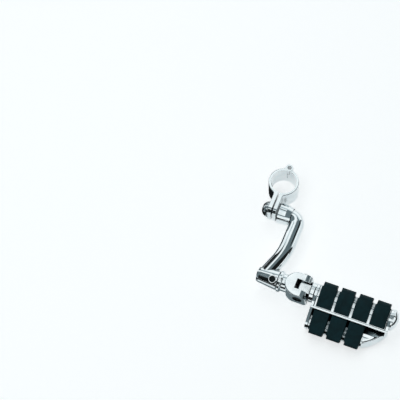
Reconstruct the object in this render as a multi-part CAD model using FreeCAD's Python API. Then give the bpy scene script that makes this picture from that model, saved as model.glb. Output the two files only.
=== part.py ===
import FreeCAD, Part
import math
import os

# Motorcycle highway peg: a wide folding foot peg with two rows of rubber pads,
# carried by a clevis and a cast offset arm on a two-piece round clamp.
# Lengths are millimetres. The origin is the centre of the clamp bore, +Z runs along
# the bore, +X along the clamp bolt towards the peg, and -Y the way the arm reaches.

V = FreeCAD.Vector
X_AXIS = V(1, 0, 0)
Y_AXIS = V(0, 1, 0)
Z_AXIS = V(0, 0, 1)

# Clearances
run_gap = 0.06          # radial, between a shaft and the bore that turns on it
seat_gap = 0.05         # between two pieces that are fixed to each other
free_gap = 0.3          # between faces that move past each other
bolt_hole_gap = 0.3     # radial, round a bolt that only passes through

# Clamp
bore_r = 15.875         # half of 1-1/4 inch
band_wall = 3.2
band_width = 28.0       # along the bore
split_gap = 2.0         # between the two ears, also where the band is split at the back
ear_wall = 5.0
ear_reach = 8.5         # from the bolt's centre to the ear's tip
ear_corner_r = 6.0
ear_root_r = 4.0        # fillet where an ear leaves the band
bolt_y = -36.0
knuckle_r = 4.8
knuckle_wall = 1.6      # from the band's outside to the hinge pin's centre
knuckle_root = 1.2      # how far the knuckle's root spreads past it
hinge_pin_r = 2.4
knuckle_middle = 10.0   # length of the middle knuckle
band_edge_round = 0.8

# Clamp bolt, which is also the arm's swivel
bolt_r = 5.0
bolt_head_r = 9.4
bolt_head_h = 6.4
bolt_socket_af = 6.0
bolt_socket_depth = 3.2
washer_r = 10.3
washer_t = 1.5
tooth_washer_r = 11.6
tooth_washer_t = 1.0
tooth_washer_teeth = 20
tooth_washer_notch = 1.2
bolt_reach = 20.0       # length of bolt inside the arm
bolt_bore_spare = 1.5

# Offset arm
arm_boss_r = 13.0
arm_boss_neck_r = 10.8
arm_boss_length = 17.0
arm_bar_r = 9.7
arm_run_x = 33.2        # middle of the run that goes down beside the peg
arm_bend_r = 10.5
arm_straight = 25.0
arm_bow_r = 85.0
arm_bow_angle = 19.5
peg_axis_y = -122.5
lower_boss_left = 11.5
lower_boss_right = 39.0
lower_boss_nose_r = 9.8
lower_boss_mouth_r = 12.0
lower_boss_nose_round = 3.6
lower_boss_end_wall = 4.0

# Set screw that holds the clevis shank in the lower boss
screw_r = 4.0
screw_length = 4.0
screw_recess_r = 4.8
screw_x = 32.5
screw_lean = 25.0       # from +Z towards -Y
screw_socket_af = 4.0
screw_socket_depth = 2.2
shank_groove_depth = 0.9

# Clevis
shank_r = 7.0
collar_r = 13.2
collar_length = 4.6
collar_round = 1.0
waist_r = 11.0
flare_length = 8.0      # over which the waist widens into the head
head_back_r = 15.4     # half the width of the head, and its rounded back
head_back_x = 63.4      # centre of the rounded back
head_half_depth = 11.5
head_corner_r = 4.0
head_edge_round = 1.2
slot_width = 13.0
slot_end_x = 61.4

# Pivot pin
pin_x = 68.3
pin_r = 4.0
pin_head_r = 6.0
pin_head_t = 3.2
pin_head_recess = 5.0   # the head sits this deep in the near cheek
pin_tail = 3.2          # past the far cheek
ring_groove_depth = 0.7
ring_t = 1.0
ring_r = 6.2
ring_setback = 0.6      # from the far cheek to the ring
spring_t = 0.7

# Peg adapter: tongue, hub and splined spigot
tongue_top = 6.5
tongue_bottom = 8.0
spring_room = 1.3       # between the tongue and the cheek on the washer's side
hub_r = 12.3
peg_left = 87.0
spline_tip_r = 9.2
spline_root_r = 8.0
spline_teeth = 24
spline_length = 3.0
spline_gap = 0.1
mount_bolt_r = 4.0
mount_bolt_head_r = 6.4
mount_bolt_head_h = 5.2
mount_bolt_socket_af = 6.0
mount_bolt_depth = 11.0  # thread length inside the adapter
lock_washer_r = 6.6
lock_washer_t = 1.4

# Peg frame, in its own section: v across the tread, w square to it
tread_tilt = 25.0       # the tread leans down towards -Y
peg_length = 97.4
inboard_wall = 5.6
barrel_r = 12.5
barrel_bore_r = 8.5
lobe_v = -34.5
lobe_w = -1.5
lobe_r = 9.8
rib_v = -16.9           # far face of the rib between the rows
rib_wall = 2.7
rib_top = barrel_r      # the rib's crest is level with the barrel's
rib_round = 0.7
shelf_drop = 1.0        # the bars of the upper row meet the rib this far below its top
trough_r = 28.7         # hollow beside the rib, which rises from its foot to the lobe's crest
trough_lean = 27.0      # slope of the hollow at the rib's foot
trough_foot_w = -0.5
crest_w = 7.0
wing_skin = 3.6
lip_wall = 3.4
cross_rib = 3.0
flange_t = 3.2          # plate at each end, straight across both rows
edge_groove = 1.0       # width and depth of the groove behind each plate
corner_r = 55.6         # the wing's outboard corner is rounded off on this radius, seen from above
corner_setback = 49.3   # centre of that rounding, from the outboard end
corner_v = 4.7
corner_slope_r = 40.0   # the corner's domed slope starts this far from the centre
corner_drop = 16.3      # and falls this much by the edge

# Rubber pads
pad_land_in = 6.25      # from the peg's inboard end to the first pad
pad_land_out = 4.75     # from the last pad to the outboard end
bar_width = 3.6         # metal between two pads
pad_end_step = 2.4      # how much narrower the pad is where it wraps over the frame's edge
pad_gap = 0.1
pocket = 1.5
upper_pads = 4
lower_pads = 3
upper_v_in = -13.2
upper_v_out = 18.0
upper_rise = 12.6
upper_crown = 15.0
upper_shoulder = 12.4
lower_v_in = -17.9
lower_v_out = -47.3
lower_rise = 12.2
lower_crown = 12.6
lower_shoulder = -42.6
pad_corner = 5.0
upper_wrap = -3.0       # how low the wrapped end reaches
lower_wrap = -5.0
stud_r = 1.8
stud_head_r = 2.6
stud_head_h = 1.6
upper_stud_v = 4.2      # studs of an upper pad, each side of the barrel's middle
inner_stud_v = -21.0    # studs of a lower pad
outer_stud_v = -33.5

# End cap
cap_r = 13.2
cap_rim = 1.8
cap_rise = 6.0
cap_plug = 9.0

os.makedirs("parts", exist_ok=True)


def rod(r, length, base, direction):
    return Part.makeCylinder(r, length, base, direction)


def block(x0, x1, y0, y1, z0, z1):
    return Part.makeBox(x1 - x0, y1 - y0, z1 - z0, V(x0, y0, z0))


def turned(points, centre):
    """Revolve (x, r) points about the line along X through centre."""
    path = [V(x, centre.y + r, centre.z) for x, r in points]
    face = Part.Face(Part.makePolygon(path + [path[0]]))
    return face.revolve(centre, X_AXIS, 360)


def hex_prism(across_flats, length, base, direction):
    r = across_flats / math.sqrt(3.0)
    ring = [V(r * math.cos(math.radians(60 * i)), r * math.sin(math.radians(60 * i)), 0) for i in range(7)]
    prism = Part.Face(Part.makePolygon(ring)).extrude(V(0, 0, length))
    turn = FreeCAD.Rotation(Z_AXIS, direction)
    prism.Placement = FreeCAD.Placement(base, turn)
    return prism


def spline_prism(tip_r, root_r, x0, x1):
    """Toothed prism along X about the peg's axis, built at y = z = 0."""
    pts = []
    step = 2 * math.pi / spline_teeth
    for i in range(spline_teeth):
        for part, r in ((0.0, root_r), (0.3, root_r), (0.45, tip_r), (0.85, tip_r)):
            a = (i + part) * step
            pts.append(V(x0, r * math.cos(a), r * math.sin(a)))
    pts.append(pts[0])
    return Part.Face(Part.makePolygon(pts)).extrude(V(x1 - x0, 0, 0))


def save(name, shape):
    shape = shape.removeSplitter()
    if not shape.isValid():
        print("not valid:", name)
    print(f"{name:22s} solids {len(shape.Solids)}  volume {shape.Volume / 1000:8.2f} cm3")
    shape.exportStep("parts/" + name + ".step")


# Clamp halves

band_r = bore_r + band_wall
half_gap = split_gap / 2
half_band = band_width / 2
ear_face = half_gap + ear_wall
hinge_y = band_r + knuckle_wall
bolt_line = V(0, bolt_y, 0)
ear_root_y = -math.sqrt(band_r ** 2 - ear_face ** 2)


def ear(side):
    """The flat lug on one side of the split, rounded at its tip's corners."""
    x0, x1 = sorted((side * half_gap, side * ear_face))
    tip_y = bolt_y - ear_reach
    lug = block(x0, x1, tip_y, -bore_r - band_wall / 2, -half_band, half_band)
    corners = [e for e in lug.Edges if abs(e.BoundBox.YMax - tip_y) < 1e-6
               and abs(e.BoundBox.XLength - ear_wall) < 1e-6]
    return lug.makeFillet(ear_corner_r, corners)


def knuckle(z0, z1):
    return rod(knuckle_r, z1 - z0, V(0, hinge_y, z0), Z_AXIS)


def outer_rims(half, side):
    """Edges round the outside of a clamp half at both ends of the bore, split faces left sharp."""
    rims = []
    for e in half.Edges:
        middle = e.valueAt((e.FirstParameter + e.LastParameter) / 2)
        level = abs(abs(middle.z) - half_band) < 1e-6 and e.BoundBox.ZLength < 1e-6
        if level and abs(middle.x) > half_gap + 1e-3:
            rims.append(e)
    return rims


def clamp_half(side):
    ring = rod(band_r, band_width, V(0, 0, -half_band), Z_AXIS)
    keep = block(half_gap, 2 * band_r, -2 * band_r, 2 * band_r, -band_width, band_width)
    if side < 0:
        keep = keep.mirror(V(0, 0, 0), X_AXIS)
    half = ring.common(keep).fuse(ear(side)).removeSplitter()
    root = [e for e in half.Edges if abs(e.BoundBox.YMax - ear_root_y) < 1e-3
            and e.BoundBox.YLength < 1e-3 and abs(e.BoundBox.XMax - side * ear_face) < 1e-3]
    half = half.makeFillet(ear_root_r, root)
    half = half.makeFillet(band_edge_round, outer_rims(half, side))
    half_middle = knuckle_middle / 2
    ends = ((-half_band, -half_middle - free_gap), (half_middle + free_gap, half_band))
    mine = ((-half_middle, half_middle),) if side > 0 else ends
    room_ends = ((-half_band - 1, -half_middle), (half_middle, half_band + 1))
    room_middle = ((-half_middle - free_gap, half_middle + free_gap),)
    other = room_ends if side > 0 else room_middle
    for z0, z1 in other:
        half = half.cut(rod(knuckle_r + free_gap, z1 - z0, V(0, hinge_y, z0), Z_AXIS))
    for z0, z1 in mine:
        bridge_x = side * (knuckle_r + knuckle_root)
        x0, x1 = sorted((0, bridge_x))
        bridge = block(x0, x1, hinge_y - knuckle_r, hinge_y, z0, z1)
        bridge = bridge.common(rod(band_r + knuckle_root, band_width, V(0, 0, -half_band), Z_AXIS))
        half = half.fuse(knuckle(z0, z1)).fuse(bridge)
    half = half.cut(rod(bore_r, 2 * band_width, V(0, 0, -band_width), Z_AXIS))
    half = half.cut(rod(hinge_pin_r + seat_gap, 2 * band_width, V(0, hinge_y, -band_width), Z_AXIS))
    half = half.cut(rod(bolt_r + bolt_hole_gap, 4 * ear_face, V(-2 * ear_face, bolt_y, 0), X_AXIS))
    return half


save("clamp_arm_half", clamp_half(1))
save("clamp_bolt_half", clamp_half(-1))

pin = rod(hinge_pin_r, band_width, V(0, hinge_y, -half_band), Z_AXIS)
pin = pin.makeChamfer(0.5, pin.Edges)
save("clamp_hinge_pin", pin)

# Washers and clamp bolt

head_x = -ear_face - washer_t
washer = turned([(-ear_face, bolt_r + bolt_hole_gap), (-ear_face, washer_r - 0.4), (-ear_face - 0.4, washer_r),
                 (head_x, washer_r), (head_x, bolt_r + bolt_hole_gap)], bolt_line)
save("clamp_washer", washer)

arm_face = ear_face + tooth_washer_t + free_gap
toothed = turned([(ear_face, bolt_r + bolt_hole_gap), (ear_face, tooth_washer_r),
                  (ear_face + tooth_washer_t, tooth_washer_r),
                  (ear_face + tooth_washer_t, bolt_r + bolt_hole_gap)], bolt_line)
notch = block(ear_face - 1, ear_face + tooth_washer_t + 1, bolt_y + tooth_washer_r - 1.1,
              bolt_y + tooth_washer_r + 1, -tooth_washer_notch / 2, tooth_washer_notch / 2)
for i in range(tooth_washer_teeth):
    cut = notch.copy()
    cut.rotate(bolt_line, X_AXIS, 360.0 / tooth_washer_teeth * i)
    toothed = toothed.cut(cut)
save("tooth_washer", toothed)

bolt_end = arm_face + bolt_reach
head_tip = head_x - bolt_head_h
bolt = turned([(head_x, 0), (head_x, bolt_head_r), (head_x - 1.2, bolt_head_r),
               (head_x - 3.4, bolt_head_r - 0.9), (head_x - 5.2, bolt_head_r - 2.7),
               (head_tip, bolt_head_r - 4.6), (head_tip, 0)], bolt_line)
bolt = bolt.fuse(rod(bolt_r, bolt_end - head_x, V(head_x, bolt_y, 0), X_AXIS))
bolt = bolt.cut(hex_prism(bolt_socket_af, bolt_socket_depth, V(head_tip, bolt_y, 0), X_AXIS))
save("clamp_bolt", bolt)

# Offset arm: one casting, a boss at each end of a bent round bar

bend_x = arm_run_x - arm_bend_r
bar_top = V(arm_run_x, bolt_y - arm_bend_r, 0)
bow_start = bar_top + V(0, -arm_straight, 0)
bow_centre = bow_start + V(-arm_bow_r, 0, 0)
lean = math.radians(arm_bow_angle)
bow_end = bow_centre + V(arm_bow_r * math.cos(lean), -arm_bow_r * math.sin(lean), 0)
lean_dir = V(-math.sin(lean), -math.cos(lean), 0)
lean_run = (bow_end.y - peg_axis_y) / math.cos(lean)

arm = turned([(arm_face, 0), (arm_face, arm_boss_r - 0.8), (arm_face + 0.8, arm_boss_r),
              (arm_face + arm_boss_length * 0.6, arm_boss_r - 0.5),
              (arm_face + arm_boss_length, arm_boss_neck_r), (bend_x, arm_boss_neck_r), (bend_x, 0)], bolt_line)
bend_face = Part.Face(Part.Wire(Part.makeCircle(arm_bar_r, V(bend_x, bolt_y, 0), X_AXIS)))
arm = arm.fuse(bend_face.revolve(V(bend_x, bolt_y - arm_bend_r, 0), V(0, 0, -1), 90))
arm = arm.fuse(rod(arm_bar_r, arm_straight, bar_top, V(0, -1, 0)))
bow_face = Part.Face(Part.Wire(Part.makeCircle(arm_bar_r, bow_start, Y_AXIS)))
arm = arm.fuse(bow_face.revolve(bow_centre, V(0, 0, -1), arm_bow_angle))
arm = arm.fuse(rod(arm_bar_r, lean_run, bow_end, lean_dir))

peg_line = V(0, peg_axis_y, 0)
nose = lower_boss_nose_round
boss = turned([(lower_boss_left, 0), (lower_boss_left, lower_boss_nose_r - nose),
               (lower_boss_left + nose * 0.3, lower_boss_nose_r - nose * 0.3),
               (lower_boss_left + nose, lower_boss_nose_r),
               (lower_boss_right - 2.0, lower_boss_mouth_r), (lower_boss_right - 0.6, lower_boss_mouth_r),
               (lower_boss_right, lower_boss_mouth_r - 0.6), (lower_boss_right, 0)], peg_line)
arm = arm.fuse(boss)
bore_start = lower_boss_left + lower_boss_end_wall
arm = arm.cut(rod(shank_r + run_gap, lower_boss_right - bore_start + 1, V(bore_start, peg_axis_y, 0), X_AXIS))
arm = arm.cut(rod(bolt_r + run_gap, bolt_reach + bolt_bore_spare, V(arm_face, bolt_y, 0), X_AXIS))

screw_dir = V(0, -math.sin(math.radians(screw_lean)), math.cos(math.radians(screw_lean)))
groove_r = shank_r - shank_groove_depth
screw_foot = V(screw_x, peg_axis_y, 0) + screw_dir * (groove_r + free_gap)
screw_top = groove_r + free_gap + screw_length
arm = arm.cut(rod(screw_r + seat_gap, 2 * lower_boss_mouth_r, V(screw_x, peg_axis_y, 0), screw_dir))
arm = arm.cut(rod(screw_recess_r, lower_boss_mouth_r, V(screw_x, peg_axis_y, 0) + screw_dir * screw_top, screw_dir))
save("offset_arm", arm)

screw = rod(screw_r, screw_length, screw_foot, screw_dir)
screw = screw.cut(hex_prism(screw_socket_af, screw_socket_depth + 1,
                            screw_foot + screw_dir * (screw_length - screw_socket_depth), screw_dir))
save("shank_set_screw", screw)

# Clevis: shank, collar, waist and a slotted head in one forging

collar_left = lower_boss_right + free_gap
collar_right = collar_left + collar_length
waist_end = head_back_x - head_back_r + 5.0
groove_half = screw_r + free_gap
shank_left = bore_start + 1.0
turned_part = turned([
    (shank_left, 0), (shank_left, shank_r - 0.8), (shank_left + 0.8, shank_r),
    (screw_x - groove_half, shank_r), (screw_x - groove_half, groove_r),
    (screw_x + groove_half, groove_r), (screw_x + groove_half, shank_r),
    (collar_left, shank_r), (collar_left, collar_r - collar_round), (collar_left + collar_round, collar_r),
    (collar_right - collar_round, collar_r), (collar_right, collar_r - collar_round),
    (collar_right + collar_round, waist_r), (waist_end, waist_r), (waist_end, 0)], peg_line)
# The cheeks' upper corners end round the pin, so that the hub's face swings past them
cheek_r = head_half_depth + free_gap
head_end_x = pin_x + cheek_r
head = rod(head_back_r, 2 * head_half_depth, V(head_back_x, peg_axis_y, -head_half_depth), Z_AXIS)
head = head.fuse(block(head_back_x, head_end_x, peg_axis_y - head_back_r, peg_axis_y + head_back_r,
                       -head_half_depth, head_half_depth)).removeSplitter()
corners = [e for e in head.Edges if abs(e.Vertexes[0].X - head_end_x) < 1e-6
           and abs(e.Vertexes[-1].X - head_end_x) < 1e-6 and e.Length > 1.9 * head_half_depth
           and abs(e.Vertexes[0].Y - e.Vertexes[-1].Y) < 1e-6]
head = head.makeFillet(head_corner_r, corners)
rims = [e for e in head.Edges if abs(e.BoundBox.ZMax - e.BoundBox.ZMin) < 1e-6]
head = head.makeFillet(head_edge_round, rims)
near_face = peg_axis_y - head_back_r
far_face = peg_axis_y + head_back_r
end_zone = block(pin_x, head_end_x + 1, near_face - 1, far_face + 1, 0, 2 * head_half_depth)
head = head.cut(end_zone.cut(rod(cheek_r, 3 * head_back_r, V(pin_x, near_face - 5, 0), Y_AXIS)))
# The waist widens on a hollow curve into the head, no deeper than the head is
flare_rise = head_back_r - head_edge_round - waist_r
flare_curve_r = (flare_length ** 2 + flare_rise ** 2) / (2 * flare_rise)
flare_left = head_back_x - flare_length
flare_path = [V(flare_left, peg_axis_y, 0), V(flare_left, peg_axis_y + waist_r, 0)]
flare_end = V(head_back_x, peg_axis_y + waist_r + flare_rise, 0)
half_run = flare_length / 2
flare_mid = V(flare_left + half_run, flare_path[1].y + flare_curve_r - math.sqrt(flare_curve_r ** 2 - half_run ** 2), 0)
flare_edges = [Part.LineSegment(flare_path[0], flare_path[1]).toShape(),
               Part.Arc(flare_path[1], flare_mid, flare_end).toShape(),
               Part.LineSegment(flare_end, V(head_back_x, peg_axis_y, 0)).toShape(),
               Part.LineSegment(V(head_back_x, peg_axis_y, 0), flare_path[0]).toShape()]
flare = Part.Face(Part.Wire(flare_edges)).revolve(peg_line, X_AXIS, 360)
flare_top = head_half_depth - head_edge_round
flare = flare.common(block(flare_left, head_back_x, near_face, far_face, -flare_top, flare_top))
clevis = head.fuse(turned_part).fuse(flare)
slot_low = peg_axis_y - slot_width / 2
slot_high = peg_axis_y + slot_width / 2
clevis = clevis.cut(block(slot_end_x, head_end_x + 5, slot_low, slot_high, -2 * head_half_depth, 2 * head_half_depth))
clevis = clevis.cut(rod(pin_r + seat_gap, 3 * head_back_r, V(pin_x, near_face - 5, 0), Y_AXIS))
clevis = clevis.cut(rod(pin_head_r + seat_gap, pin_head_recess, V(pin_x, near_face, 0), Y_AXIS))
save("clevis", clevis)

# Pivot pin, its ring and the conical spring washer beside the tongue

pin_seat = near_face + pin_head_recess
pin_end = far_face + pin_tail
ring_y = far_face + ring_setback
pin = rod(pin_head_r, pin_head_t, V(pin_x, pin_seat - pin_head_t, 0), Y_AXIS)
pin = pin.makeChamfer(0.5, [e for e in pin.Edges if abs(e.BoundBox.YMax - (pin_seat - pin_head_t)) < 1e-3])
pin = pin.fuse(rod(pin_r, pin_end - pin_seat, V(pin_x, pin_seat, 0), Y_AXIS))
groove = rod(pin_r + 1, ring_t + 0.2, V(pin_x, ring_y - 0.1, 0), Y_AXIS)
groove = groove.cut(rod(pin_r - ring_groove_depth, ring_t + 0.2, V(pin_x, ring_y - 0.1, 0), Y_AXIS))
pin = pin.cut(groove)
save("pivot_pin", pin)

ring = rod(ring_r, ring_t, V(pin_x, ring_y, 0), Y_AXIS)
ring = ring.cut(rod(pin_r - ring_groove_depth + seat_gap, ring_t, V(pin_x, ring_y, 0), Y_AXIS))
mouth = 2 * (pin_r - ring_groove_depth) * 0.8
ring = ring.cut(block(pin_x - mouth / 2, pin_x + mouth / 2, ring_y, ring_y + ring_t, 0, 2 * ring_r))
save("retaining_ring", ring)

tongue_high = slot_high - spring_room
tongue_low = slot_low + free_gap / 2
tongue_reach = pin_x - slot_end_x - free_gap
spring_in = pin_r + bolt_hole_gap
spring_r = tongue_reach
cone = [(spring_in, tongue_high + seat_gap), (spring_in, tongue_high + seat_gap + spring_t),
        (spring_r, slot_high - seat_gap), (spring_r, slot_high - seat_gap - spring_t)]
path = [V(pin_x + r, y, 0) for r, y in cone]
spring = Part.Face(Part.makePolygon(path + [path[0]])).revolve(V(pin_x, 0, 0), Y_AXIS, 360)
save("spring_washer", spring)

# Peg adapter: tongue in the clevis, round hub, and a splined spigot for the frame

hub_left = head_end_x + free_gap
tongue = block(pin_x - tongue_reach, hub_left + 1, tongue_low, tongue_high, -tongue_bottom, tongue_top)
corner_box = block(pin_x - tongue_reach - 1, pin_x, tongue_low - 1, tongue_high + 1, 0, 2 * tongue_top)
round_end = rod(tongue_reach, tongue_high - tongue_low, V(pin_x, tongue_low, 0), Y_AXIS)
tongue = tongue.cut(corner_box).fuse(round_end.common(corner_box.common(
    block(0, pin_x, tongue_low, tongue_high, -tongue_bottom, tongue_top))))
hub = turned([(hub_left, 0), (hub_left, hub_r - 1.0), (hub_left + 1.0, hub_r), (peg_left - 1.2, hub_r),
              (peg_left, hub_r - 0.6), (peg_left, 0)], peg_line)
spigot = spline_prism(spline_tip_r, spline_root_r, peg_left - 1, peg_left + spline_length)
spigot.rotate(V(0, 0, 0), X_AXIS, tread_tilt)
spigot.translate(peg_line)
adapter = tongue.fuse(hub).fuse(spigot)
adapter = adapter.cut(rod(pin_r + run_gap, 2 * slot_width, V(pin_x, slot_low - 5, 0), Y_AXIS))
spigot_end = peg_left + spline_length
adapter = adapter.cut(rod(mount_bolt_r + seat_gap, mount_bolt_depth + spline_length + 0.5,
                          V(peg_left - mount_bolt_depth - 0.5, peg_axis_y, 0), X_AXIS))
save("peg_adapter", adapter)

# Peg frame and pads, built level about the X axis and then tilted

peg_right = peg_left + peg_length
bars_across = (upper_pads - 1) * bar_width
pad_width = (peg_length - pad_land_in - pad_land_out - bars_across) / upper_pads
pad_pitch = pad_width + bar_width
pad_end_width = pad_width - pad_end_step
first_middle = peg_left + pad_land_in + pad_width / 2
pad_middles = [first_middle + i * pad_pitch for i in range(upper_pads)]
rib_near = rib_v + rib_wall
trough_v = rib_v + trough_r * math.sin(math.radians(trough_lean))
trough_w = trough_foot_w + trough_r * math.cos(math.radians(trough_lean))
outer_reach = 3 * (barrel_r + abs(lobe_v))   # past everything in the frame's section
under_w = lobe_w - lobe_r


def tilt(shape):
    shape = shape.copy()
    shape.rotate(V(0, 0, 0), X_AXIS, tread_tilt)
    shape.translate(peg_line)
    return shape


def frame_form(inset):
    """The two-lobed section along the whole peg, drawn in by inset where the pads seat."""
    length = peg_length
    barrel = rod(barrel_r - inset, length, V(peg_left, 0, 0), X_AXIS)
    lobe = rod(lobe_r - inset, length, V(peg_left, lobe_v, lobe_w), X_AXIS)
    crest_v = lobe_v + math.sqrt(lobe_r ** 2 - (crest_w - lobe_w) ** 2)
    web = block(peg_left, peg_right, crest_v, 0, under_w + inset, crest_w - inset)
    hollow = rod(trough_r + inset, length, V(peg_left, trough_v, trough_w), X_AXIS)
    web = web.cut(hollow.common(block(peg_left, peg_right, -outer_reach, rib_v, -outer_reach, outer_reach)))
    under = block(peg_left, peg_right, lobe_v, crest_v, under_w + inset, lobe_w)
    return barrel.fuse([lobe, web, under])


def end_plate(x0):
    """Plate across both rows: the two lobes joined by their outer tangents."""
    near, far = V(x0, 0, 0), V(x0, lobe_v, lobe_w)
    run = far - near
    angle = math.acos((barrel_r - lobe_r) / run.Length)
    base = math.atan2(run.z, run.y)
    corners = []
    for turn in (angle, -angle):
        out = V(0, math.cos(base + turn), math.sin(base + turn))
        corners.append((near + out * barrel_r, far + out * lobe_r))
    (a, b), (d, c) = corners
    plate = Part.Face(Part.makePolygon([a, b, c, d, a])).extrude(V(flange_t, 0, 0))
    return plate.fuse([rod(barrel_r, flange_t, near, X_AXIS), rod(lobe_r, flange_t, far, X_AXIS)])


pocketed = frame_form(pocket)
solid_frame = frame_form(0).fuse([end_plate(peg_left), end_plate(peg_right - flange_t)])
solid_frame = solid_frame.fuse(block(peg_left, peg_right, rib_v, rib_near, 0, rib_top))
shelf_top = rib_top - shelf_drop
shelf_v = math.sqrt(barrel_r ** 2 - shelf_top ** 2)
solid_frame = solid_frame.fuse(block(peg_left, peg_right, rib_near, shelf_v, 0, shelf_top))
rib_edges = [e for e in solid_frame.removeSplitter().Edges if abs(e.BoundBox.ZMin - rib_top) < 1e-6
             and e.Length > peg_length * 0.9]
solid_frame = solid_frame.removeSplitter().makeFillet(rib_round, rib_edges)


def pad_window(x_mid, v0, v1, w_low, narrow_v, gap):
    """Space that a pad takes seen along w: wide on the tread, narrower where it wraps the edge."""
    wide = pad_width / 2 + gap
    slim = pad_end_width / 2 + gap
    side = 1 if v1 > v0 else -1
    near, mid = sorted((v0 - side * gap, narrow_v))
    window = block(x_mid - wide, x_mid + wide, near, mid, w_low - gap, 3 * rib_top)
    a, b = sorted((narrow_v, v1 + side * 5))
    return window.fuse(block(x_mid - slim, x_mid + slim, a, b, w_low - gap, 3 * rib_top))


def pad_profile(v_in, v_out, rise, crown, wrap, x_mid):
    """Crowned outer form of a pad across the frame, from the rib to the wrapped edge."""
    side = 1 if v_out > v_in else -1
    inner_v = v_in
    corner_v = v_out - side * pad_corner
    low = wrap
    top_in = V(0, inner_v, rise)
    top_mid = V(0, (inner_v + corner_v) / 2, crown)
    top_out = V(0, corner_v, rise)
    bend = V(0, v_out - side * pad_corner * 0.25, rise - pad_corner * 0.34)
    side_top = V(0, v_out, rise - pad_corner)
    side_low = V(0, v_out - side * 0.8, low)
    foot = V(0, inner_v, low)
    edges = [Part.LineSegment(foot, top_in).toShape(), Part.Arc(top_in, top_mid, top_out).toShape(),
             Part.Arc(top_out, bend, side_top).toShape(), Part.LineSegment(side_top, side_low).toShape(),
             Part.LineSegment(side_low, foot).toShape()]
    face = Part.Face(Part.Wire(edges))
    solid = face.extrude(V(pad_width, 0, 0))
    solid.translate(V(x_mid - pad_width / 2, 0, 0))
    return solid


def pad(x_mid, v_in, v_out, rise, crown, wrap, shoulder, studs):
    body = pad_profile(v_in, v_out, rise, crown, wrap, x_mid)
    body = body.common(pad_window(x_mid, v_in, v_out, wrap, shoulder, 0))
    body = body.cut(frame_form(pocket - seat_gap))
    body = max(body.Solids, key=lambda s: s.Volume)
    for v, top, bottom in studs:
        body = body.fuse(rod(stud_r, top - bottom + stud_r, V(x_mid, v, bottom), Z_AXIS))
        body = body.fuse(rod(stud_head_r, stud_head_h, V(x_mid, v, bottom - stud_head_h), Z_AXIS))
    return body


# Each stud goes through the skin under its pad: (place across, top of skin, underside of skin)
barrel_floor = barrel_r - pocket
bay_ceiling = trough_foot_w - pocket - wing_skin
trough_floor = trough_w - math.sqrt((trough_r + pocket) ** 2 - (inner_stud_v - trough_v) ** 2)


def barrel_stud(v):
    top = math.sqrt(barrel_floor ** 2 - (abs(v) + stud_r) ** 2)
    bottom = math.sqrt(barrel_bore_r ** 2 - (abs(v) + stud_head_r) ** 2)
    return v, top, bottom - seat_gap


upper_studs = [barrel_stud(-upper_stud_v), barrel_stud(upper_stud_v)]
lower_studs = [(inner_stud_v, trough_floor, bay_ceiling - seat_gap),
               (outer_stud_v, lobe_w + lobe_r - 2 * pocket, bay_ceiling - seat_gap)]

frame = solid_frame
for i, x_mid in enumerate(pad_middles):
    window = pad_window(x_mid, upper_v_in, upper_v_out, upper_wrap, upper_shoulder, pad_gap)
    frame = frame.cut(window.cut(pocketed))
    if i < lower_pads:
        window = pad_window(x_mid, lower_v_in, lower_v_out, lower_wrap, lower_shoulder, pad_gap)
        frame = frame.cut(window.cut(pocketed))

# The wing is hollow below its pads, with a cross rib between bays and a solid outer corner
lip_v = lobe_v - lobe_r + lip_wall
cross_xs = [x + pad_pitch / 2 for x in pad_middles[:lower_pads]]
bay_edges = [peg_left + inboard_wall - cross_rib / 2] + cross_xs
for x_left, x_right in zip(bay_edges, bay_edges[1:]):
    x0 = x_left + cross_rib / 2
    x1 = x_right - cross_rib / 2
    bay = block(x0, x1, lip_v, 0, -outer_reach, bay_ceiling)
    frame = frame.cut(bay.cut(rod(barrel_r, 2 * peg_right, V(0, 0, 0), X_AXIS)))

# Bores: the barrel from its outer end, the bolt hole and the splined seat
frame = frame.cut(rod(barrel_bore_r, peg_length, V(peg_left + inboard_wall, 0, 0), X_AXIS))
frame = frame.cut(rod(mount_bolt_r + bolt_hole_gap, peg_length, V(peg_left - 1, 0, 0), X_AXIS))
frame = frame.cut(spline_prism(spline_tip_r + spline_gap, spline_root_r + spline_gap,
                               peg_left - 1, peg_left + spline_length + spline_gap))
for x_mid in pad_middles:
    for v, top, bottom in upper_studs:
        frame = frame.cut(rod(stud_r + pad_gap, barrel_r, V(x_mid, v, 0), Z_AXIS))
for x_mid in pad_middles[:lower_pads]:
    for v, top, bottom in lower_studs:
        frame = frame.cut(rod(stud_r + pad_gap, 2 * lobe_r, V(x_mid, v, bottom - 1), Z_AXIS))

# A fine groove runs round the frame behind each end
rib_slab = block(0, 2 * peg_right, rib_v, rib_near, 0, rib_top)
for x_groove in (peg_left + flange_t, peg_right - flange_t - edge_groove):
    ring = block(x_groove, x_groove + edge_groove, 4 * lobe_v, 4 * barrel_r, -4 * barrel_r, 4 * barrel_r)
    frame = frame.cut(ring.cut(frame_form(edge_groove)).cut(rib_slab))

# The wing's outboard corner is rounded off and domed, to clear the ground in a lean
dome_top = lobe_w + lobe_r
dome_low = dome_top - corner_drop
slope_mid = V(corner_slope_r + 0.74 * (corner_r - corner_slope_r), 0, dome_low + 0.69 * corner_drop)
deep = V(0, 0, -outer_reach)
high = V(0, 0, outer_reach)
slope_foot = V(corner_r, 0, 0)
slope_head = V(corner_slope_r, 0, 0)
outline = [Part.LineSegment(deep, slope_foot + deep).toShape(),
           Part.LineSegment(slope_foot + deep, V(corner_r, 0, dome_low)).toShape(),
           Part.Arc(V(corner_r, 0, dome_low), slope_mid, V(corner_slope_r, 0, dome_top)).toShape(),
           Part.LineSegment(V(corner_slope_r, 0, dome_top), slope_head + high).toShape(),
           Part.LineSegment(slope_head + high, high).toShape(),
           Part.LineSegment(high, deep).toShape()]
corner = Part.Face(Part.Wire(outline)).revolve(V(0, 0, 0), Z_AXIS, 360)
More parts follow.
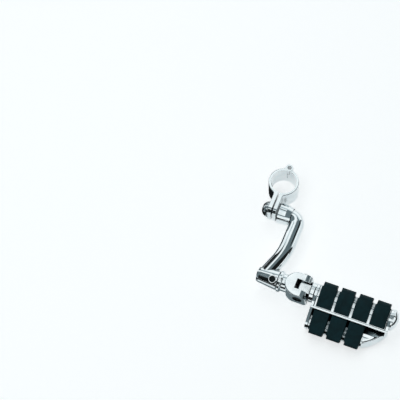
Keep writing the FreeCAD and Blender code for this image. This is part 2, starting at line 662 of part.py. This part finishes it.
corner.translate(V(peg_right - corner_setback, corner_v, 0))
corner_start = cross_xs[-1]
corner_zone = block(corner_start, peg_right + 1, -outer_reach, rib_v, -outer_reach, outer_reach)
frame = frame.cut(corner_zone.cut(corner))
save("peg_frame", tilt(frame))

for i, x_mid in enumerate(pad_middles):
    shape = pad(x_mid, upper_v_in, upper_v_out, upper_rise, upper_crown, upper_wrap, upper_shoulder, upper_studs)
    save(f"upper_pad_{i + 1}", tilt(shape))
for i, x_mid in enumerate(pad_middles[:lower_pads]):
    shape = pad(x_mid, lower_v_in, lower_v_out, lower_rise, lower_crown, lower_wrap, lower_shoulder, lower_studs)
    save(f"lower_pad_{i + 1}", tilt(shape))

# Bolt that holds the frame on the adapter, its lock washer, and the end cap

seat_x = peg_left + inboard_wall
lock = rod(lock_washer_r, lock_washer_t, V(seat_x, peg_axis_y, 0), X_AXIS)
lock = lock.cut(rod(mount_bolt_r + bolt_hole_gap, lock_washer_t, V(seat_x, peg_axis_y, 0), X_AXIS))
save("lock_washer", lock)

bolt_head_x = seat_x + lock_washer_t
bolt = rod(mount_bolt_head_r, mount_bolt_head_h, V(bolt_head_x, peg_axis_y, 0), X_AXIS)
bolt = bolt.fuse(rod(mount_bolt_r, bolt_head_x - peg_left + mount_bolt_depth,
                     V(peg_left - mount_bolt_depth, peg_axis_y, 0), X_AXIS))
bolt = bolt.cut(hex_prism(mount_bolt_socket_af, mount_bolt_head_h * 0.6 + 1,
                          V(bolt_head_x + mount_bolt_head_h * 0.4, peg_axis_y, 0), X_AXIS))
save("peg_mount_bolt", bolt)

cap_face = peg_right + cap_rim
dome_r = (cap_r ** 2 + cap_rise ** 2) / (2 * cap_rise)
dome = Part.makeSphere(dome_r, V(cap_face + cap_rise - dome_r, peg_axis_y, 0))
dome = dome.common(rod(cap_r, cap_rise + 1, V(cap_face, peg_axis_y, 0), X_AXIS))
cap = rod(cap_r, cap_rim, V(peg_right, peg_axis_y, 0), X_AXIS).fuse(dome)
cap = cap.fuse(rod(barrel_bore_r - seat_gap, cap_plug, V(peg_right - cap_plug, peg_axis_y, 0), X_AXIS))
save("end_cap", cap)
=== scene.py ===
import math
import bmesh
import bpy
from mathutils import Matrix, Vector


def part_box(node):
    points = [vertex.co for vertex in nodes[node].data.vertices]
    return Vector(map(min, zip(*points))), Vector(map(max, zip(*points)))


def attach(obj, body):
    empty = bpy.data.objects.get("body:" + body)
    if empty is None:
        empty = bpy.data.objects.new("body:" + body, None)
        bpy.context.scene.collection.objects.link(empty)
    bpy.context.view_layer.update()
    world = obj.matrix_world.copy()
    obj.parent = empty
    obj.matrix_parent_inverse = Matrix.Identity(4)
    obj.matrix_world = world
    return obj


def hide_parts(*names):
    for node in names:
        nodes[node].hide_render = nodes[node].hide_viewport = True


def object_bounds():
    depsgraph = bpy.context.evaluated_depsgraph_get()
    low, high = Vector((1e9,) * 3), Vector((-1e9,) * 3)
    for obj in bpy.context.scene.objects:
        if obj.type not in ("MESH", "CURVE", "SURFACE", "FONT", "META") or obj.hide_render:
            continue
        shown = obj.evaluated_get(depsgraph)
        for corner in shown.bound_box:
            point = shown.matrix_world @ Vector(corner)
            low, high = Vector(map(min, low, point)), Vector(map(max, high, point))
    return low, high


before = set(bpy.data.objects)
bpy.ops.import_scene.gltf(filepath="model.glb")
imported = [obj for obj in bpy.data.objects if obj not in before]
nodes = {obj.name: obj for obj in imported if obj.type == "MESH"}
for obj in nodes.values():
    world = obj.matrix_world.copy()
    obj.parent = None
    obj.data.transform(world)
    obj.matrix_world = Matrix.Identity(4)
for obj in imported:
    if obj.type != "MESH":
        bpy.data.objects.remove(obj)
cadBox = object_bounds()
mm = 0.001
print("frame loaded,", len(nodes), "nodes")


def toLinear(hexColour):
    # sRGB hex to the linear values that the shader takes
    parts = [int(hexColour[i:i + 2], 16) / 255 for i in (1, 3, 5)]
    return tuple(c / 12.92 if c <= 0.04045 else ((c + 0.055) / 1.055) ** 2.4 for c in parts) + (1.0,)


def addNode(tree, kind, settings=None, links=None, **sockets):
    # one node with its settings, its socket values and what feeds it
    node = tree.nodes.new("ShaderNode" + kind)
    for name, value in (settings or {}).items():
        setattr(node, name, value)
    for name, value in sockets.items():
        node.inputs[name.replace("_", " ")].default_value = value
    for name, source in (links or {}).items():
        tree.links.new(source, node.inputs[name])
    return node


def newMaterial(name, **sockets):
    # a plain Principled material, ready for its patterns
    material = bpy.data.materials.new(name)
    material.use_nodes = True
    tree = material.node_tree
    tree.nodes.clear()
    shader = addNode(tree, "BsdfPrincipled", **sockets)
    addNode(tree, "OutputMaterial", links={"Surface": shader.outputs["BSDF"]})
    place = addNode(tree, "TexCoord").outputs["Object"]
    return material, tree, shader, place


def setRamp(node, stops):
    # colour stops as (position, hex), in order
    ramp = node.color_ramp
    while len(ramp.elements) > 1:
        ramp.elements.remove(ramp.elements[-1])
    ramp.elements[0].position = stops[0][0]
    ramp.elements[0].color = toLinear(stops[0][1])
    for position, colour in stops[1:]:
        ramp.elements.new(position).color = toLinear(colour)
    return node


# chrome plate, over bar steel and over castings
chromePlate = {
    "colour": "#DCE3E5",       # bright chromium with its faint blue cast
    "shade": "#CDD6D9",        # the same plate where a polishing haze lies on it
    "hazeSize": 14.0,          # mm across one patch of haze
    "hazeSpan": (0.35, 0.75),  # level of the noise at which the haze starts, and at which it is full
    "waveSize": 5.0,           # mm from crest to crest of the flow in the plate
    "waveDepth": 0.006,        # mm
    "swirlSize": 0.5,          # mm between buffing marks, coarser than the real 0.1 so that they show
    "swirlSpan": (0.12, 0.42), # haze times marks, from where the plate is glossiest to where it is softest
    "roughLow": 0.035,
    "roughHigh": 0.10,
    "edgeRound": 0.25,         # mm of softening that plating leaves on an edge
    "paintedShadeReach": 12.0,       # mm over which a corner is sought for the painted shade
    "paintedShadeColour": "#4A5457",   # painted shade: the colour that the plate is darkened to in corners and recesses, where shade falls
    "paintedShadeFrom": 0.40,        # open share of the sky at which the painted shade is darkest
    "paintedShadeTo": 0.57,          # and from which the plate shows no painted shade
}


def makeChrome(name, values):
    # polished nickel-chrome plate: mirror-like, with a slow ripple that bends what it reflects
    material, tree, shader, place = newMaterial(name, Metallic=1.0)
    haze = addNode(tree, "TexNoise", links={"Vector": place}, Scale=1 / (values["hazeSize"] * mm), Detail=3.0)
    tint = setRamp(addNode(tree, "ValToRGB", links={"Fac": haze.outputs["Fac"]}),
                   list(zip(values["hazeSpan"], (values["colour"], values["shade"]))))
    # painted shade: ambient occlusion darkens the plate's base colour in corners and recesses
    openness = addNode(tree, "AmbientOcclusion", {"samples": 8}, Distance=values["paintedShadeReach"] * mm)
    dull = setRamp(addNode(tree, "ValToRGB", links={"Fac": openness.outputs["AO"]}),
                   [(values["paintedShadeFrom"], values["paintedShadeColour"]), (values["paintedShadeTo"], "#FFFFFF")])
    plate = addNode(tree, "MixRGB", {"blend_type": "MULTIPLY"},
                    {"Color1": tint.outputs["Color"], "Color2": dull.outputs["Color"]}, Fac=1.0)
    tree.links.new(plate.outputs["Color"], shader.inputs["Base Color"])
    swirl = addNode(tree, "TexNoise", links={"Vector": place}, Scale=1 / (values["swirlSize"] * mm), Detail=2.0)
    both = addNode(tree, "Math", {"operation": "MULTIPLY"}, {0: haze.outputs["Fac"], 1: swirl.outputs["Fac"]})
    rough = addNode(tree, "MapRange", links={"Value": both.outputs["Value"]},
                    From_Min=values["swirlSpan"][0], From_Max=values["swirlSpan"][1],
                    To_Min=values["roughLow"], To_Max=values["roughHigh"])
    tree.links.new(rough.outputs["Result"], shader.inputs["Roughness"])
    wave = addNode(tree, "TexNoise", links={"Vector": place}, Scale=1 / (values["waveSize"] * mm), Detail=1.0)
    edge = addNode(tree, "Bevel", {"samples": 6}, Radius=values["edgeRound"] * mm)
    bump = addNode(tree, "Bump", links={"Height": wave.outputs["Fac"], "Normal": edge.outputs["Normal"]},
                   Strength=1.0, Distance=values["waveDepth"] * mm)
    tree.links.new(bump.outputs["Normal"], shader.inputs["Normal"])
    return material


# turned steel, zinc plated or blackened
zincSteel = {
    "colour": "#B9BDBF",
    "dull": "#8F9598",
    "spotSize": 3.0,           # mm across a patch of duller zinc
    "spotSpan": (0.3, 0.8),    # level of the noise at which a patch starts, and at which it is full
    "lineSize": 2.2,           # mm between turning lines, coarser than the real 0.2 so that they show
    "lineDepth": 0.01,         # mm
    "lineStrength": 0.5,
    "roughLow": 0.20,
    "roughHigh": 0.37,
    "edgeRound": 0.15,         # mm
}


def makeZincSteel(name, values):
    # bright zinc over turned steel: soft grey gloss with fine lines left by the lathe
    material, tree, shader, place = newMaterial(name, Metallic=1.0)
    spots = addNode(tree, "TexNoise", links={"Vector": place}, Scale=1 / (values["spotSize"] * mm), Detail=4.0)
    tint = setRamp(addNode(tree, "ValToRGB", links={"Fac": spots.outputs["Fac"]}),
                   list(zip(values["spotSpan"], (values["colour"], values["dull"]))))
    tree.links.new(tint.outputs["Color"], shader.inputs["Base Color"])
    rough = addNode(tree, "MapRange", links={"Value": spots.outputs["Fac"]},
                    To_Min=values["roughLow"], To_Max=values["roughHigh"])
    tree.links.new(rough.outputs["Result"], shader.inputs["Roughness"])
    # the wave texture has a crest each 2 pi / 20 of its scale
    lines = addNode(tree, "TexWave", {"wave_type": "BANDS", "bands_direction": "X"}, {"Vector": place},
                    Scale=math.pi / 10 / (values["lineSize"] * mm), Distortion=0.6, Detail=1.0)
    edge = addNode(tree, "Bevel", {"samples": 4}, Radius=values["edgeRound"] * mm)
    bump = addNode(tree, "Bump", links={"Height": lines.outputs["Fac"], "Normal": edge.outputs["Normal"]},
                   Strength=values["lineStrength"], Distance=values["lineDepth"] * mm)
    tree.links.new(bump.outputs["Normal"], shader.inputs["Normal"])
    return material


# moulded rubber
mouldedRubber = {
    "colour": "#062B30",       # black rubber, with the green-blue cast of the sky's reflection painted into its colour
    "bloom": "#0D393F",        # greyer where wax has come to the surface
    "bloomSize": 9.0,          # mm
    "bloomSpan": (0.35, 0.75), # level of the noise at which the bloom starts, and at which it is full
    "grainSize": 0.45,         # mm across a grain of the mould's spark finish
    "grainDepth": 0.05,        # mm
    "grainStrength": 0.7,
    "roughLow": 0.50,
    "roughHigh": 0.74,
    "edgeRound": 0.5,          # mm
    "ior": 1.52,
    "gloss": 0.18,             # little shine, so that the pads stay dark under the lamp
}


def makeRubber(name, values):
    # nitrile rubber from a spark-finished mould: near black, matt, with a fine pebble that scatters the light
    material, tree, shader, place = newMaterial(name, IOR=values["ior"], Specular_IOR_Level=values["gloss"])
    bloom = addNode(tree, "TexNoise", links={"Vector": place}, Scale=1 / (values["bloomSize"] * mm), Detail=5.0)
    tint = setRamp(addNode(tree, "ValToRGB", links={"Fac": bloom.outputs["Fac"]}),
                   list(zip(values["bloomSpan"], (values["colour"], values["bloom"]))))
    tree.links.new(tint.outputs["Color"], shader.inputs["Base Color"])
    rough = addNode(tree, "MapRange", links={"Value": bloom.outputs["Fac"]},
                    To_Min=values["roughLow"], To_Max=values["roughHigh"])
    tree.links.new(rough.outputs["Result"], shader.inputs["Roughness"])
    grain = addNode(tree, "TexVoronoi", {"feature": "SMOOTH_F1"}, {"Vector": place},
                    Scale=1 / (values["grainSize"] * mm))
    edge = addNode(tree, "Bevel", {"samples": 6}, Radius=values["edgeRound"] * mm)
    bump = addNode(tree, "Bump", links={"Height": grain.outputs["Distance"], "Normal": edge.outputs["Normal"]},
                   Strength=values["grainStrength"], Distance=values["grainDepth"] * mm)
    tree.links.new(bump.outputs["Normal"], shader.inputs["Normal"])
    return material


# a casting ripples more slowly and polishes less evenly than a bar
castPlate = {**chromePlate, "waveDepth": 0.008, "waveSize": 8.0, "roughHigh": 0.13}
# bolts are plated as they come from the thread roller, so they are greyer and softer
boltPlate = {**chromePlate, "colour": "#C3CACD", "shade": "#B0B9BD", "roughLow": 0.07, "roughHigh": 0.16}
# black oxide leaves the turned steel dark, with an oily gloss
oxideSteel = {**zincSteel, "colour": "#2A3133", "dull": "#1C2224", "roughLow": 0.27, "roughHigh": 0.44}

polishedChrome = makeChrome("polished_chrome_plate", chromePlate)
castChrome = makeChrome("chrome_plate_over_casting", castPlate)
boltChrome = makeChrome("chrome_plated_bolt_steel", boltPlate)
brightZinc = makeZincSteel("bright_zinc_plated_steel", zincSteel)
blackOxide = makeZincSteel("black_oxide_steel", oxideSteel)
padRubber = makeRubber("moulded_nitrile_rubber", mouldedRubber)
finishes = {
    "clamp_chrome": polishedChrome,
    "arm_chrome": polishedChrome,
    "clevis_chrome": castChrome,
    "frame_chrome": castChrome,
    "fastener_chrome": boltChrome,
    "bright_steel": brightZinc,
    "black_steel": blackOxide,
    "pad_rubber": padRubber,
}
for name, node in nodes.items():
    for slot in node.material_slots:
        slot.material = finishes[slot.material.name.split(".")[0]]
print("materials on the frame")


def addPiece(name, bm, body, material, sharpDegrees=35):
    # a finished mesh in the row frame, shaded smooth up to its real edges
    mesh = bpy.data.meshes.new(name)
    bmesh.ops.recalc_face_normals(bm, faces=bm.faces)
    bm.to_mesh(mesh)
    bm.free()
    if mesh.attributes.get("custom_normal"):
        mesh.attributes.remove(mesh.attributes["custom_normal"])
    mesh.polygons.foreach_set("use_smooth", [True] * len(mesh.polygons))
    mesh.set_sharp_from_angle(angle=math.radians(sharpDegrees))
    mesh.materials.append(material)
    piece = bpy.data.objects.new(name, mesh)
    bpy.context.scene.collection.objects.link(piece)
    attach(piece, body)
    return piece


# rubber pads
padMoulding = {
    "edgeRound": 0.7,          # mm, the radius that the mould leaves on every outer edge
    "segments": 3,
    "sharpOver": 32,           # degrees between faces that count as an edge
    "flatUnder": 1.5,          # degrees between faces that are one face
    "weld": 0.002,             # mm
    "endReach": 3.0,           # mm from the pad's ends that its outer edges keep to
}
padNames = [name for name in nodes if "_pad_" in name]


def mouldPad(name, values):
    # the pad's own form with its outer edges rolled over, as a rubber mould leaves them
    bm = bmesh.new()
    bm.from_mesh(nodes[name].data)
    for face in bm.faces:
        face.material_index = 0
    bmesh.ops.remove_doubles(bm, verts=bm.verts, dist=values["weld"] * mm)
    bmesh.ops.dissolve_limit(bm, angle_limit=math.radians(values["flatUnder"]), verts=bm.verts, edges=bm.edges)
    low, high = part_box(name)
    reach = values["endReach"] * mm
    corners = [edge for edge in bm.edges if len(edge.link_faces) == 2
               and edge.calc_face_angle_signed() > math.radians(values["sharpOver"])
               and all(abs(v.co.x - low.x) < reach or abs(v.co.x - high.x) < reach for v in edge.verts)]
    bmesh.ops.bevel(bm, geom=corners, offset=values["edgeRound"] * mm, segments=values["segments"],
                    profile=0.5, affect="EDGES", clamp_overlap=True)
    bmesh.ops.triangulate(bm, faces=[face for face in bm.faces if len(face.verts) > 4])
    piece = addPiece("rubber_" + name, bm, "peg", padRubber)
    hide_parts(name)
    return piece


for name in padNames:
    piece = mouldPad(name, padMoulding)
print("rubber pads moulded:", len(padNames), "of about", len(piece.data.polygons), "faces")


# snap ring on the pivot pin
snapRing = {
    "inner": 3.4,              # mm
    "bandWide": 2.1,           # across the ring opposite its mouth
    "bandNarrow": 1.3,         # across it beside the eyes
    "eyeRadius": 1.35,
    "eyePlace": 4.55,          # from the pin's centre to the eye's
    "eyeHole": 0.55,
    "mouthHalf": 27,           # degrees from the mouth's middle to the eye's centre
    "edgeRound": 0.12,         # mm that the stamping tool rolls its edges over
    "sharpOver": 60,           # degrees between faces that count as an edge
    "weld": 0.001,             # mm
    "bandSteps": 72,
    "eyeSteps": 24,
}


def makeSnapRing(values):
    # stamped spring ring: a tapering band that ends in two eyes for the pliers
    low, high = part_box("retaining_ring")
    pinLow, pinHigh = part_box("pivot_pin")
    centre = Vector(((pinLow.x + pinHigh.x) / 2, low.y, 0))
    depth = high.y - low.y
    start = math.radians(values["mouthHalf"])
    outer, inner = [], []
    for i in range(values["bandSteps"] + 1):
        turn = start + (2 * math.pi - 2 * start) * i / values["bandSteps"]
        share = (1 - math.cos(turn)) / 2
        width = values["bandNarrow"] + (values["bandWide"] - values["bandNarrow"]) * share
        for row, r in ((outer, values["inner"] + width), (inner, values["inner"])):
            row.append((r * math.sin(turn), r * math.cos(turn)))
    bm = bmesh.new()

    def addPlate(loops):
        # a flat plate with straight sides, from two matching rows of points
        rows = [[[bm.verts.new(centre + Vector((x * mm, y, z * mm))) for x, z in loop] for loop in loops]
                for y in (0, depth)]
        steps = range(len(loops[0]) - 1)
        for a, b in rows:
            for i in steps:
                bm.faces.new((a[i], a[i + 1], b[i + 1], b[i]))
        for front, back in zip(*rows):
            for i in steps:
                bm.faces.new((front[i], front[i + 1], back[i + 1], back[i]))
        isOpen = (Vector(loops[0][0]) - Vector(loops[0][-1])).length > 1e-9
        for i in (0, -1) if isOpen else ():
            bm.faces.new((rows[0][0][i], rows[0][1][i], rows[1][1][i], rows[1][0][i]))

    addPlate([outer, inner])
    turns = [2 * math.pi * i / values["eyeSteps"] for i in range(values["eyeSteps"] + 1)]
    for side in (1, -1):
        x = values["eyePlace"] * math.sin(side * start)
        z = values["eyePlace"] * math.cos(start)
        addPlate([[(x + r * math.cos(a), z + r * math.sin(a)) for a in turns]
                  for r in (values["eyeRadius"], values["eyeHole"])])
    bmesh.ops.remove_doubles(bm, verts=bm.verts, dist=values["weld"] * mm)
    corners = [edge for edge in bm.edges if len(edge.link_faces) == 2
               and edge.calc_face_angle() > math.radians(values["sharpOver"])]
    bmesh.ops.bevel(bm, geom=corners, offset=values["edgeRound"] * mm, segments=2,
                    profile=0.5, affect="EDGES", clamp_overlap=True)
    piece = addPiece("snap_ring", bm, "clevis", brightZinc)
    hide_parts("retaining_ring")


makeSnapRing(snapRing)
print("snap ring made")


# floor, light and what the chrome reflects
studio = {
    "floorColour": "#F4F5F5",
    "floorLift": 0.64,         # share of white that the floor shows by itself, so that it stays pale
    "floorSize": 8.0,          # m
    "skyColour": "#A9BCC2",
    "skyLevel": 0.42,
    "overheadLevel": 4.6,      # W
    "scrimLevel": 1.35,        # how bright the lit cloths look in the chrome
    "flagColour": "#0A1211",
    "cardColour": "#C4CDD0",
}
# how a lit cloth's brightness falls off from one edge to the other
scrimFall = [(0.0, "#FFFFFF"), (0.45, "#F2F5F5"), (0.80, "#DCE2E4"), (1.0, "#A9B8BD")]


def addSheet(name, width, depth, place, facing, material, inView=True):
    # a flat sheet of the studio, its face turned to a point
    mesh = bpy.data.meshes.new(name)
    w, d = width / 2, depth / 2
    mesh.from_pydata([(-w, -d, 0), (w, -d, 0), (w, d, 0), (-w, d, 0)], [], [(0, 1, 2, 3)])
    sheet = bpy.data.objects.new(name, mesh)
    bpy.context.scene.collection.objects.link(sheet)
    sheet.location = place
    sheet.rotation_euler = (Vector(facing) - Vector(place)).to_track_quat("Z", "Y").to_euler()
    mesh.materials.append(material)
    sheet.visible_camera = inView
    sheet.visible_shadow = inView
    sheet.visible_diffuse = inView


def addLamp(name, place, facing, size, power):
    # a soft box, which the chrome sees only as the cloths round it
    lamp = bpy.data.lights.new(name, "AREA")
    lamp.shape = "RECTANGLE"
    lamp.size, lamp.size_y = size
    lamp.energy = power
    thing = bpy.data.objects.new(name, lamp)
    bpy.context.scene.collection.objects.link(thing)
    thing.location = place
    thing.rotation_euler = (Vector(facing) - Vector(place)).to_track_quat("-Z", "Y").to_euler()
    thing.visible_glossy = False


# white paper that stays pale to the eye and in the chrome, and still takes the object's shadow
paper, tree, shader, place = newMaterial("white_background_paper", Roughness=0.9, Specular_IOR_Level=0.2,
                                         Base_Color=toLinear(studio["floorColour"]),
                                         Emission_Color=toLinear("#FFFFFF"))
seen = addNode(tree, "LightPath").outputs
eye = addNode(tree, "Math", {"operation": "MAXIMUM"}, {0: seen["Is Camera Ray"], 1: seen["Is Glossy Ray"]})
eye = addNode(tree, "Math", {"operation": "MAXIMUM"}, {0: eye.outputs["Value"], 1: seen["Is Transmission Ray"]})
lift = addNode(tree, "Math", {"operation": "MULTIPLY"}, {0: eye.outputs["Value"]})
lift.inputs[1].default_value = studio["floorLift"]
tree.links.new(lift.outputs["Value"], shader.inputs["Emission Strength"])

low, high = [Vector(corner) for corner in cadBox]
middle = (low + high) / 2
floorLevel = low.z - 0.5 * mm
onFloor = floorLevel + 1 * mm  # where the low cloths lie
addSheet("paper_floor", studio["floorSize"], studio["floorSize"],
         (middle.x, middle.y, floorLevel), (middle.x, middle.y, 1.0), paper)

# cloths lit from behind, that put the white faces into the chrome: name, width, depth, place, what it faces
scrims = (
    ("scrim_back", 1.108, 0.62, (-0.646, 0.60, 1.35), (-0.646, 0.60, 0.0)),
    ("scrim_back_right", 0.24, 0.50, (0.0, 0.88, 1.35), (0.0, 0.88, 0.0)),
    ("scrim_middle", 0.24, 0.80, (-0.05, -0.10, 1.35), (-0.05, -0.10, 0.0)),
    ("scrim_front", 0.62, 0.45, (-0.18, -0.73, 1.35), (-0.18, -0.73, 0.0)),
    ("scrim_front_low", 0.28, 0.30, (-0.01, -1.105, 1.35), (-0.01, -1.105, 0.0)),
    ("scrim_left", 0.75, 1.20, (-1.0, 0.55, 0.63), (0.0, 0.55, 0.63)),
    ("card_right", 0.48, 0.30, (0.70, 0.40, 0.16), (0.0, 0.40, 0.16)),
    ("card_low_right", 0.30, 0.15, (0.69, -0.10, 0.05), (0.0, -0.10, 0.05)),
    ("card_back", 1.8, 1.35, (0.1, 1.2, 0.68), (0.1, 0.0, 0.68)),
    ("card_front", 1.0, 0.70, (0.38, -1.15, 0.52), (0.38, 0.0, 0.52)),
)
scrimCloth, tree, shader, place = newMaterial("lit_diffusion_cloth", Roughness=1.0, Specular_IOR_Level=0.0,
                                              Base_Color=toLinear("#000000"),
                                              Emission_Strength=studio["scrimLevel"])
along = addNode(tree, "Mapping", links={"Vector": place}, Location=(0.5, 0, 0), Rotation=(0, 0, -math.pi / 2))
fall = addNode(tree, "TexGradient", links={"Vector": along.outputs["Vector"]})
tint = setRamp(addNode(tree, "ValToRGB", links={"Fac": fall.outputs["Fac"]}), scrimFall)
tree.links.new(tint.outputs["Color"], shader.inputs["Emission Color"])

# black cloths, that put the dark bands into the curved chrome, written in the same way
flags = (
    ("flag_right", 1.05, 1.40, (0.70, -0.38, 0.67), (0.0, -0.38, 0.67)),
    ("flag_right_high", 0.625, 0.47, (0.70, 0.583, 0.615), (0.0, 0.583, 0.615)),
    ("flag_front", 0.9, 1.40, (-0.57, -1.15, 0.67), (-0.57, 0.0, 0.67)),
    ("flag_left", 0.29, 1.20, (-0.99, 0.785, 0.63), (0.0, 0.785, 0.63)),
    ("flag_back_corner", 0.58, 0.21, (-0.91, 0.805, 1.34), (-0.91, 0.805, 0.0)),
    ("flag_low_left", 0.218, 0.45, (-0.121, -0.03, onFloor), (-0.121, -0.03, 1.0)),
    ("flag_low_front", 0.36, 0.93, (0.02, -0.685, onFloor), (0.02, -0.685, 1.0)),
    ("flag_front_foot", 1.0, 0.20, (0.38, -1.14, 0.075), (0.38, 0.0, 0.075)),
    ("flag_low_peg", 0.11, 0.145, (0.105, -0.248, onFloor), (0.105, -0.248, 1.0)),
    ("flag_low_right", 0.14, 0.30, (0.32, -0.14, onFloor), (0.32, -0.14, 1.0)),
)
flagCloth = newMaterial("black_flag_cloth", Roughness=0.95, Base_Color=toLinear(studio["flagColour"]))[0]

# a grey card at the clevis's foot, that shades its front face
cards = (("grey_card", 0.095, 0.028, (0.0375, -0.144, onFloor), (0.0375, -0.144, 1.0)),)
greyCard = newMaterial("grey_card", Roughness=0.95, Base_Color=toLinear(studio["cardColour"]))[0]

for sheets, material in ((scrims, scrimCloth), (flags, flagCloth), (cards, greyCard)):
    for name, width, depth, place, facing in sheets:
        addSheet(name, width, depth, place, facing, material, False)

addLamp("overhead_softbox", (-0.32, -0.05, 1.36), (-0.32, -0.05, 0.0), (0.72, 2.0), studio["overheadLevel"])

world = bpy.data.worlds.new("studio_room")
world.use_nodes = True
background = world.node_tree.nodes["Background"]
background.inputs["Color"].default_value = toLinear(studio["skyColour"])
background.inputs["Strength"].default_value = studio["skyLevel"]
bpy.context.scene.world = world
bpy.context.scene.view_settings.view_transform = "Standard"

viewpoint = {
    "round": 20.5,             # degrees round from straight in front
    "up": 63.0,                # degrees above the floor
    "distance": 2.0,           # m
    "picture": 400,            # pixels across the photograph
    "focal": 1593.6,           # in those pixels
    "across": 83.8,            # pixels from the middle of the picture to the clamp's bore
    "down": 13.3,
    "sensor": 36,              # mm
    "farthest": 50,            # m
}


def placeCamera(values):
    # the photograph's viewpoint, turned so that the peg sits at the right of the picture as it does there
    a, e = math.radians(values["round"]), math.radians(values["up"])
    right = Vector((math.cos(a), math.sin(a), 0))
    back = Vector((math.sin(a) * math.cos(e), -math.cos(a) * math.cos(e), math.sin(e)))
    up = back.cross(right)
    turn = math.atan2(values["across"], values["focal"])
    tip = math.atan2(values["down"], math.hypot(values["focal"], values["across"]))
    ahead = -back * math.cos(turn) - right * math.sin(turn)
    side = right * math.cos(turn) - back * math.sin(turn)
    ahead, upward = ahead * math.cos(tip) - up * math.sin(tip), up * math.cos(tip) + ahead * math.sin(tip)
    lens = bpy.data.cameras.new("photo_camera")
    lens.sensor_width = values["sensor"]
    lens.lens = values["sensor"] * values["focal"] / values["picture"]
    lens.clip_end = values["farthest"]
    camera = bpy.data.objects.new("photo_camera", lens)
    bpy.context.scene.collection.objects.link(camera)
    turned = Matrix((side, upward, -ahead)).transposed().to_4x4()
    camera.matrix_world = Matrix.Translation(back * values["distance"]) @ turned
    bpy.context.scene.camera = camera


placeCamera(viewpoint)
print("studio and camera in place")
